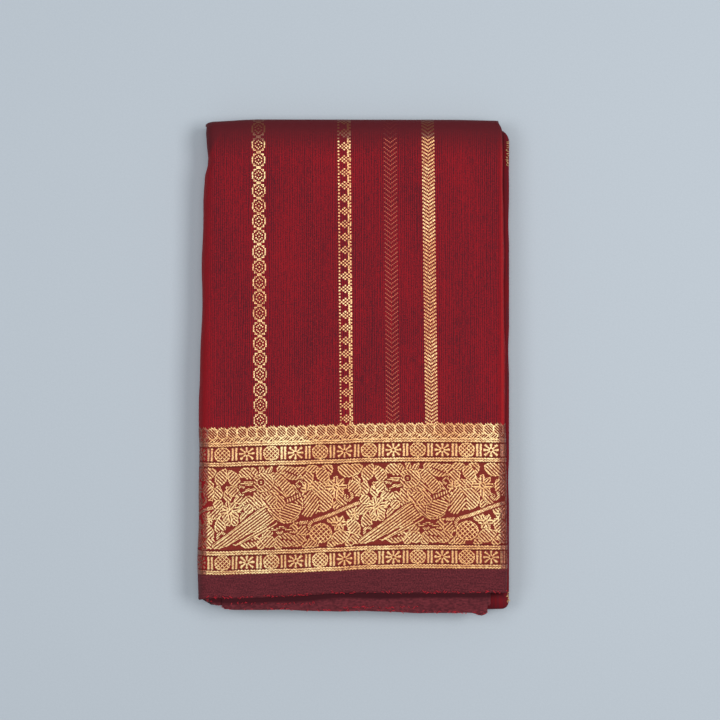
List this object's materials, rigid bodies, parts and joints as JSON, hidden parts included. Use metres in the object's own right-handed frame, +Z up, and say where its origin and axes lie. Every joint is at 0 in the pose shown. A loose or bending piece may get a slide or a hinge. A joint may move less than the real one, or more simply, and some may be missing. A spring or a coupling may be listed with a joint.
{
  "type": "folded saree",
  "caption": "Woven saree folded for the shelf: a flat stack of cloth leaves under a cover with a wide gold-thread border, a dark selvedge and woven stripes.",
  "frame": {"origin": "middle of the footprint, on the surface that the folded saree lies on", "axes": "+Z up from that surface, +Y from the selvedge edge to the far fold, +X to the side where the lower leaves show"},
  "size_m": [0.1956, 0.3108, 0.0225],
  "materials": {
    "body_cloth": "shot cotton-silk in deep red and maroon, fine slubs, low sheen, with woven gold-thread stripes",
    "zari_cloth": "gold metallic thread woven over a brick-red ground",
    "edge_cloth": "plain dark maroon selvedge with red thread ends"
  },
  "bodies": {
    "root": {"front_selvedge": "edge_cloth", "front_zari_border": "zari_cloth", "front_body": "body_cloth", "second_leaf_selvedge": "edge_cloth", "third_leaf_selvedge": "edge_cloth", "lower_leaf": "body_cloth", "hidden_leaves": "body_cloth", "back_selvedge": "edge_cloth", "back_zari_border": "zari_cloth", "back_body": "body_cloth"}
  },
  "joints": []
}
